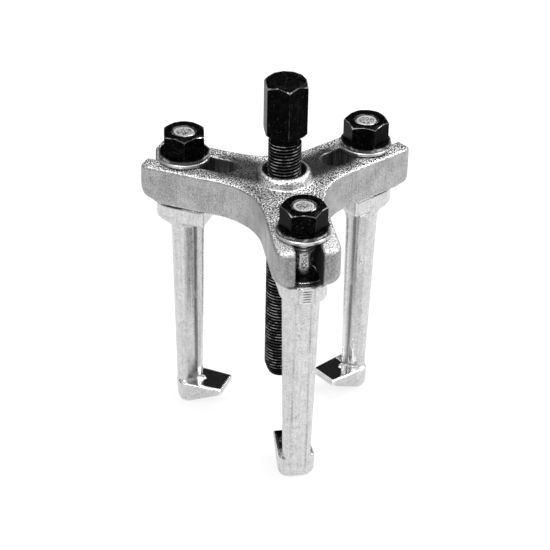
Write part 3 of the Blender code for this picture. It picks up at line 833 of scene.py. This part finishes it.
def front_jaw_mesh():
    mesh = forged_mesh("jaw_front", JAW_GRAIN)

    def sink(place, normal):
        polished = on_hook(place) * max(normal.z, 0.0)
        wave = forge_wave(place) * (1 - polished)
        return wave + RIDGE_DEPTH * ridges(place, -normal.y) * ridge_wave(place.z)

    sculpt(mesh, sink)
    record_wear(mesh, WEAR_SPREAD)
    mark(mesh, "hook_face", on_hook)
    mark(mesh, "seat", on_seat)
    mark(mesh, "ridge", lambda place: ridges(place, 1.0))
    mark(mesh, "facet_line", facet_line)
    mark(mesh, "rib_side", on_rib)
    return mesh


# ---- Materials ----

class Wire:
    """A socket in a web of nodes; arithmetic on it adds Math nodes to the web."""

    def __init__(self, web, socket):
        self.web = web
        self.socket = socket

    def combined(self, operation, first, second):
        return self.web.node("ShaderNodeMath", {"operation": operation}, {0: first, 1: second})

    def __add__(self, other):
        return self.combined("ADD", self, other)

    def __radd__(self, other):
        return self.combined("ADD", other, self)

    def __sub__(self, other):
        return self.combined("SUBTRACT", self, other)

    def __rsub__(self, other):
        return self.combined("SUBTRACT", other, self)

    def __mul__(self, other):
        return self.combined("MULTIPLY", self, other)

    def __rmul__(self, other):
        return self.combined("MULTIPLY", other, self)


class Web:
    """The nodes of a material or a world that is being made."""

    def __init__(self, tree):
        self.tree = tree

    def node(self, kind, settings, values, output=0):
        """Adds a node, with its settings first and then its values or links, and gives one output."""
        made = self.tree.nodes.new(kind)
        for key, value in settings.items():
            setattr(made, key, value)
        for key, value in values.items():
            if isinstance(value, Wire):
                self.tree.links.new(value.socket, made.inputs[key])
            else:
                made.inputs[key].default_value = value
        return Wire(self, made.outputs[output])


class Finish(Web):
    """One material and the few kinds of node that all the finishes here are made from."""

    def __init__(self, name, fixed):
        self.material = bpy.data.materials.new(name)
        self.material.use_nodes = True
        super().__init__(self.material.node_tree)
        self.shader = self.tree.nodes["Principled BSDF"]
        for key, value in fixed.items():
            self.shader.inputs[key].default_value = value
        self.place = self.node("ShaderNodeTexCoord", {}, {}, "Object")

    def attribute(self, name):
        return self.node("ShaderNodeAttribute", {"attribute_name": name}, {}, "Fac")

    def grain(self, size, detail=2.0, stretch=(1, 1, 1)):
        """Noise with features of about this size in metres; stretch lengthens them along an axis."""
        scale = [1 / (size * part) for part in stretch]
        placed = self.node("ShaderNodeMapping", {"vector_type": "POINT"},
                           {"Vector": self.place, "Scale": scale})
        return self.node("ShaderNodeTexNoise", {"noise_dimensions": "3D"},
                         {"Vector": placed, "Scale": 1.0, "Detail": detail, "Roughness": GRAIN_ROUGHNESS})

    def step(self, value, low, high):
        """0 below low, 1 above high, eased between."""
        return self.node("ShaderNodeMapRange", {"interpolation_type": "SMOOTHSTEP"},
                         {"Value": value, "From Min": low, "From Max": high, "To Min": 0.0, "To Max": 1.0})

    def facing_up(self):
        """Vertical part of the surface's own normal: 1 on top, 0 on a wall."""
        normal = self.node("ShaderNodeNewGeometry", {}, {}, "Normal")
        return self.node("ShaderNodeSeparateXYZ", {}, {"Vector": normal}, "Z")

    def height(self):
        """Height in the model's own frame."""
        return self.node("ShaderNodeSeparateXYZ", {}, {"Vector": self.place}, "Z")

    def wave(self, value, length):
        """Sine wave of this length along a value."""
        return self.node("ShaderNodeMath", {"operation": "SINE"}, {0: value * (math.tau / length)})

    def grey(self, value):
        """A neutral colour from a value."""
        return self.node("ShaderNodeCombineColor", {}, {0: value, 1: value, 2: value})

    def surface(self, key, value):
        """Links a value to an input of the material's shader."""
        self.tree.links.new(value.socket, self.shader.inputs[key])

    def relief(self, height, depth):
        """Bump of this depth in metres."""
        self.surface("Normal", self.node("ShaderNodeBump", {}, {
            "Height": height, "Strength": 1.0, "Distance": depth}, "Normal"))


def even_grey(value):
    """A neutral colour of one brightness."""
    return (value, value, value, 1.0)


def blend(first, second, share):
    """The first value where share is 0, the second where it is 1."""
    return first * (1 - share) + second * share


def swing(grain, amount):
    """Half of this amount above and below nothing, as a grain goes up and down."""
    return amount * (grain - 0.5)


def plated_forging():
    """Blasted and plated yoke: sparkling grain on top, satin walls, bright edges that are partly wear and
    partly painted highlight, painted shade in the slots (darkest in the front one), in the bore and on the
    tops near the boss, and painted light on the arms' ends.
    """
    finish = Finish("plated_forging", {"Specular IOR Level": 0.1})
    fine = finish.grain(BLAST_GRAIN, 1.0)
    specks = finish.grain(SPECK_GRAIN, 1.0)
    streaks = finish.grain(SPECK_GRAIN, 1.5, YOKE_STREAKS)
    top = finish.step(finish.facing_up(), 0.45, 0.90)
    slot = finish.attribute("slot_wall")
    slot_light = finish.attribute("slot_light")
    boss = finish.attribute("boss_face")
    bore = finish.attribute("bore_wall")
    top_shade_share = finish.attribute("painted_top_shade")
    arm_end = finish.attribute("arm_end")
    lit_end = finish.attribute("lit_end")
    # edges lose their brightness in the painted shade near the boss and round the slots
    outside_shade = (1 - finish.attribute("slot_rim")) * (1 - 0.6 * top_shade_share)
    wear = finish.step(finish.attribute("edge_wear") + swing(specks, 0.3), 0.25, 0.70) * outside_shade
    sparkle = finish.step(fine, 0.505, 0.525)
    shade = finish.step(finish.grain(SHADE_GRAIN, 2.0), 0.30, 0.70)

    # tops darkened near the boss: painted shade
    blasted = (0.002 + 0.94 * sparkle) * (0.58 + 0.48 * shade) * (1 - 0.93 * top_shade_share)
    # lighter tone of the arms' ends: painted light
    rubbed = 0.33 + 0.36 * sparkle
    upper = blend(blasted, rubbed, 0.85 * lit_end)
    # the boss darkened on its far side: painted shade
    boss_skin = (0.20 + 0.66 * finish.step(specks, 0.40, 0.52)) * (1 - 0.80 * top_shade_share)
    wall_grain = swing(streaks, 0.18) + swing(specks, 0.60) + swing(shade, 0.10)
    # end faces a little darker: painted shade
    wall = 0.38 + wall_grain - 0.07 * arm_end * (0.5 + shade)
    plain = blend(blend(wall, upper, top), boss_skin, boss)
    # lighter edges: partly wear, partly painted highlight
    edge_wear_and_highlight = (0.38 + 0.42 * sparkle) * (1 - 0.5 * lit_end)
    worn_and_highlit = blend(plain, edge_wear_and_highlight, wear * (1 - 0.65 * boss))
    # the slots' walls darkened, the front one most: painted shade
    slot_shade_tone = (0.14 + 0.24 * finish.step(streaks, 0.36, 0.68)) * slot_light
    # the bore painted nearly black: painted shade
    final = blend(blend(worn_and_highlit, slot_shade_tone, slot), BORE_SHADE, bore)
    finish.surface("Base Color", finish.grey(final))
    # no reflection in the front slot: painted shade
    deep_slot_shade = slot * (1 - slot_light)
    finish.surface("Metallic", 1 - deep_slot_shade)
    rough = 0.38 + swing(specks, 0.12) + 0.04 * top - 0.08 * wear
    finish.surface("Roughness", rough + 0.45 * deep_slot_shade + 0.24 * lit_end)
    finish.relief(fine * (0.25 + 0.75 * top) + 0.35 * streaks * (1 - top), YOKE_RELIEF)
    return finish.material


def bright_plate():
    """Plated jaws: pale satin skin with faint long streaks, and a ground hook face."""
    finish = Finish("bright_plate", {"Metallic": 1.0})
    fine = finish.grain(PLATE_GRAIN, 1.5)
    mottle = finish.grain(PLATE_MOTTLE, 2.5)
    streaks = finish.grain(PLATE_STREAK, 1.5, PLATE_STREAKS)
    pits = finish.step(finish.grain(PIT_GRAIN, 1.0), 0.70, 0.76)
    ground = finish.attribute("hook_face") * finish.step(finish.facing_up(), 0.90, 0.98)
    wear = finish.step(finish.attribute("edge_wear"), 0.40, 0.95)
    above_foot = finish.step(finish.height(), *(HOOK_FACE + rise for rise in FOOT_FADE))
    # creases darkened above the foot: painted shade
    hollow = finish.step(finish.attribute("hollow"), 0.24, 0.68) * above_foot
    ridge = finish.attribute("ridge") * finish.step(finish.wave(finish.height(), RIDGE_PITCH), -0.2, 0.5)
    # the seat and the line below the yoke darkened: painted shade and a painted shadow
    seat = finish.attribute("seat")
    lines = finish.attribute("facet_line") * finish.step(streaks, 0.35, 0.60)
    skin = 0.60 + swing(mottle, 0.30) + swing(streaks, 0.24) + swing(fine, 0.58)
    # dark lines across the grip ridges: painted shade
    marked = skin * (1 - 0.42 * lines) * (1 - 0.80 * ridge) * (1 - 0.5 * pits)
    # the rib a little darker: painted shade
    shaded = marked * (1 - 0.08 * finish.attribute("rib_side")) * (1 - 0.93 * seat)
    worn_and_crease_shaded = blend(shaded, WORN_PLATE, wear) * (1 - 0.66 * hollow)
    finish.surface("Base Color", finish.grey(blend(worn_and_crease_shaded, GROUND_TONE, ground)))
    rough = 0.30 + swing(mottle, 0.10) + swing(fine, 0.10) - 0.08 * wear
    finish.surface("Roughness", blend(rough, GROUND_ROUGHNESS, ground))
    finish.relief((fine * 0.6 + streaks * 0.4 + mottle * 0.6) * (1 - ground), PLATE_RELIEF)
    return finish.material


def zinc_hardware(name, tone, contrast, metal):
    """Turned zinc-plated steel; contrast sets how blotchy it is, and metal how much it mirrors."""
    finish = Finish(name, {"Metallic": metal})
    fine = finish.grain(ZINC_GRAIN, 1.5)
    cloud = finish.grain(ZINC_CLOUD, 2.0)
    wear = finish.step(finish.attribute("edge_wear"), 0.15, 0.7)
    # hollows darkened: painted shade
    hollow = finish.step(finish.attribute("hollow"), 0.2, 0.8)
    skin = tone + swing(cloud, 0.20) + swing(finish.step(fine, 0.42, 0.58), contrast)
    # the stud darkened below its flats: painted shade
    shaded_below_flats = skin * (1 - 0.90 * finish.attribute("shaded_below_flats"))
    finish.surface("Base Color", finish.grey(blend(shaded_below_flats, tone + ZINC_WORN, wear) * (1 - 0.6 * hollow)))
    finish.surface("Roughness", 0.30 + swing(cloud, 0.20))
    finish.relief(fine, ZINC_RELIEF)
    return finish.material


def black_oxide():
    """Blackened steel, with steel showing in patches where its masks say that it is rubbed more than half
    through, partly a painted highlight along the hexagons' top chamfers and corners; its light specks are
    painted glints.
    """
    finish = Finish("black_oxide", {"Specular IOR Level": 0.015})
    fine = finish.grain(OXIDE_GRAIN, 2.0)
    cloud = finish.grain(OXIDE_CLOUD, 2.0)
    rub = finish.grain(OXIDE_RUB, 3.0)
    glint_specks = finish.step(finish.grain(OXIDE_GLINT, 1.0), 0.70, 0.74)
    patches = finish.step(rub, 0.48, 0.58)
    wear = finish.step(finish.attribute("rubbed"), 0.50, 0.95) * (0.16 + 0.84 * patches)
    # light specks: painted glints
    skin = 0.0004 + 0.0020 * finish.step(cloud, 0.45, 0.70) + 0.05 * glint_specks
    finish.surface("Base Color", finish.grey(blend(skin, BARE_STEEL, wear)))
    finish.surface("Metallic", 0.95 * wear)
    finish.surface("Roughness", 0.24 + swing(cloud, 0.14) + swing(fine, 0.10))
    finish.relief(fine * 0.5 + rub * 0.5, OXIDE_RELIEF)
    return finish.material


# ---- Studio ----

def show_share(web):
    """1 for rays from the camera, a mirror or glass; 0 for light that is scattered."""
    seen = web.node("ShaderNodeLightPath", {}, {}, "Is Camera Ray")
    mirrored = web.node("ShaderNodeLightPath", {}, {}, "Is Glossy Ray")
    through = web.node("ShaderNodeLightPath", {}, {}, "Is Transmission Ray")
    return seen.combined("MAXIMUM", seen.combined("MAXIMUM", seen, mirrored), through)


def backdrop(name, bm, material):
    """Turns a bmesh into a piece of the studio that is no part of the object."""
    mesh = bpy.data.meshes.new(name)
    bm.to_mesh(mesh)
    bm.free()
    mesh.materials.append(material)
    made = bpy.data.objects.new(name, mesh)
    bpy.context.scene.collection.objects.link(made)
    return made


def build_floor():
    """White floor that mostly glows: a faint shadow by the object, blank far off, clear from below."""
    finish = Finish("floor",
                    {"Base Color": even_grey(FLOOR_WHITE), "Roughness": 0.9, "Specular IOR Level": 0.0})
    glow = finish.node("ShaderNodeEmission", {}, {"Color": even_grey(1.0), "Strength": 1.0})
    lit = Wire(finish, finish.shader.outputs[0])
    reach = finish.node("ShaderNodeVectorMath", {"operation": "LENGTH"}, {0: finish.place}, "Value")
    seen = finish.node("ShaderNodeLightPath", {}, {}, "Is Camera Ray")
    far = finish.step(reach, FLOOR_NEAR, FLOOR_FAR) * seen
    share = show_share(finish) * (FLOOR_GLOW + (1 - FLOOR_GLOW) * far)
    shown = finish.node("ShaderNodeMixShader", {}, {0: share, 1: lit, 2: glow})
    clear = finish.node("ShaderNodeBsdfTransparent", {}, {})
    below = finish.node("ShaderNodeNewGeometry", {}, {}, "Backfacing")
    final = finish.node("ShaderNodeMixShader", {}, {0: below, 1: shown, 2: clear})
    finish.tree.links.new(final.socket, finish.tree.nodes["Material Output"].inputs["Surface"])
    bm = bmesh.new()
    bmesh.ops.create_grid(bm, x_segments=1, y_segments=1, size=FLOOR_SIZE / 2,
                          matrix=Matrix.Translation((0, 0, FLOOR_LEVEL)))
    backdrop("floor", bm, finish.material)


def build_band():
    """Dark band round the studio, seen only in reflections: a painted reflection for the metal."""
    finish = Finish("reflected_dark_band",
                    {"Base Color": even_grey(BAND_TONE), "Roughness": 1.0, "Specular IOR Level": 0.0})
    bm = bmesh.new()
    low = first_ring(bm, TURNED_COLUMNS, 0, ring(BAND_RADIUS, BAND_LOW))
    grow(bm, low, [ring(BAND_RADIUS, BAND_HIGH)])
    band = backdrop("reflected_dark_band", bm, finish.material)
    band.visible_camera = False
    band.visible_diffuse = False
    band.visible_shadow = False


def softbox(name, place, size, power):
    light = bpy.data.lights.new(name, "AREA")
    light.shape = "RECTANGLE"
    light.size, light.size_y = size
    light.energy = power
    made = bpy.data.objects.new(name, light)
    made.location = place
    made.rotation_mode = "QUATERNION"
    made.rotation_quaternion = (Vector(LIGHT_AIM) - Vector(place)).to_track_quat("-Z", "Y")
    bpy.context.scene.collection.objects.link(made)


def build_lights():
    for name, (place, size, power) in SOFTBOXES.items():
        softbox(name, place, size, power)


def build_world():
    """White all round wherever it is seen or mirrored, and dimmer as a light."""
    world = bpy.data.worlds.new("studio")
    world.use_nodes = True
    bpy.context.scene.world = world
    web = Web(world.node_tree)
    dim = web.node("ShaderNodeBackground", {}, {"Color": even_grey(1.0), "Strength": AMBIENT})
    white = web.node("ShaderNodeBackground", {}, {"Color": even_grey(1.0), "Strength": 1.0})
    mixed = web.node("ShaderNodeMixShader", {}, {0: show_share(web), 1: dim, 2: white})
    web.tree.links.new(mixed.socket, web.tree.nodes["World Output"].inputs["Surface"])


def build_camera():
    lens = bpy.data.cameras.new("camera")
    lens.sensor_width = CAMERA_SENSOR
    lens.lens = CAMERA_LENS
    camera = bpy.data.objects.new("camera", lens)
    tilt = Matrix.Rotation(math.radians(90 - CAMERA_ELEVATION), 4, "X")
    heading = Matrix.Rotation(math.radians(CAMERA_HEADING), 4, "Z")
    roll = Matrix.Rotation(math.radians(-CAMERA_ROLL), 4, "Z")
    camera.matrix_world = Matrix.Translation(CAMERA_PLACE) @ heading @ tilt @ roll
    bpy.context.scene.collection.objects.link(camera)
    bpy.context.scene.camera = camera


# ---- The object ----

def chamfer_line(place, flats, corner, edge, slope):
    """Rubbing where a hexagon's flats meet its turned top chamfer, and a trace along its corners, both
    partly a painted highlight.
    """
    off = abs(off_corner(math.atan2(place.y, place.x), corner))
    height = chamfer_level(edge, flats / 2 - TURNED_INSET, slope)(hexagon_radius(flats, off))
    line = 1 - smooth_step(SOFT_EDGE / 2, LINE_HALF_WIDTH, abs(place.z - height))
    return max(LINE_WEAR_AND_HIGHLIGHT * line, CORNER_WEAR_AND_HIGHLIGHT * (off < CORNER_ANGLE))


def rubbed_screw(place):
    """How far the black is rubbed: along the top chamfer and the corners, partly as a painted highlight,
    and on the thread's crests.
    """
    reach = math.hypot(place.x, place.y)
    if place.z < HEX_BASE:
        return CREST_WEAR * smooth_step(SCREW_RADIUS - CREST_DEPTH, SCREW_RADIUS, reach)
    line = chamfer_line(place, HEX_FLATS, HEX_CORNER, HEX_TOP, HEX_TOP_SLOPE)
    return line * (reach > HEX_FLATS / 2 - SOFT_EDGE)


def rubbed_nut(label):
    """The same for a nut, with its mouth and its flange's rim; gives a rule for places on the nut."""
    back = arm_place(label).inverted()

    def rule(place):
        local = back @ place
        reach = math.hypot(local.x, local.y)
        if reach < BORE_RADIUS + NUT_MOUTH / 2:
            return MOUTH_WEAR
        rim = 1 - smooth_step(NUT_LOW + NUT_RIM, NUT_LOW + 2 * NUT_RIM, local.z)
        line = chamfer_line(local, NUT_FLATS, nut_corner(label), NUT_HIGH, NUT_TOP_SLOPE)
        return max(line * (reach > NUT_FLATS / 2 - SOFT_EDGE), RIM_WEAR * rim)

    return rule


def painted_stud_shade(place):
    """1 on the stud below its spanner flats, which the material darkens: painted shade."""
    return 1 - smooth_step(STUD_FLAT_LOW - STUD_END_CHAMFER, STUD_FLAT_LOW, place.z)


def build_screw(black):
    mesh = forcing_screw_mesh()
    mark(mesh, "rubbed", rubbed_screw)
    even_normals(stand_for("forcing_screw", mesh, "screw", black, THREAD_SMOOTHED))
    even_normals(stand_for("pressure_tip", pressure_tip_mesh(), "tip", black))


def build_arm_set(label, jaw, black, plate, stud_metal, washer_metal):
    """One arm's stud, washer and nut, and a jaw copied from the front one."""
    place = arm_place(label)
    stud = stud_mesh(place)
    washer = washer_mesh(place)
    nut = nut_mesh(label, place)
    record_wear(stud)
    record_wear(washer)
    mark(nut, "rubbed", rubbed_nut(label))
    mark(stud, "shaded_below_flats", painted_stud_shade)
    even_normals(stand_for("stud_" + label, stud, "jaw_" + label, stud_metal))
    even_normals(stand_for("washer_" + label, washer, "washer_" + label, washer_metal))
    even_normals(stand_for("nut_" + label, nut, "nut_" + label, black))
    own = jaw.copy()
    own.transform(Matrix.Rotation(math.radians(ARM_HEADINGS[label] - ARM_HEADINGS["front"]), 4, "Z"))
    stand_for("jaw_" + label, own, "jaw_" + label, plate, FORGED_SMOOTHED)


def build_object():
    black = black_oxide()
    plate = bright_plate()
    stud_metal = zinc_hardware("zinc_stud", 0.38, 0.66, 0.75)
    washer_metal = zinc_hardware("zinc_washer", 0.26, 0.26, 1.0)
    stand_for("yoke", yoke_mesh(), "yoke", plated_forging(), FORGED_SMOOTHED)
    build_screw(black)
    jaw = front_jaw_mesh()
    for label in ARM_HEADINGS:
        build_arm_set(label, jaw, black, plate, stud_metal, washer_metal)
    bpy.data.meshes.remove(jaw)


build_camera()
build_object()
build_floor()
build_band()
build_lights()
build_world()
bpy.context.scene.view_settings.view_transform = "Standard"
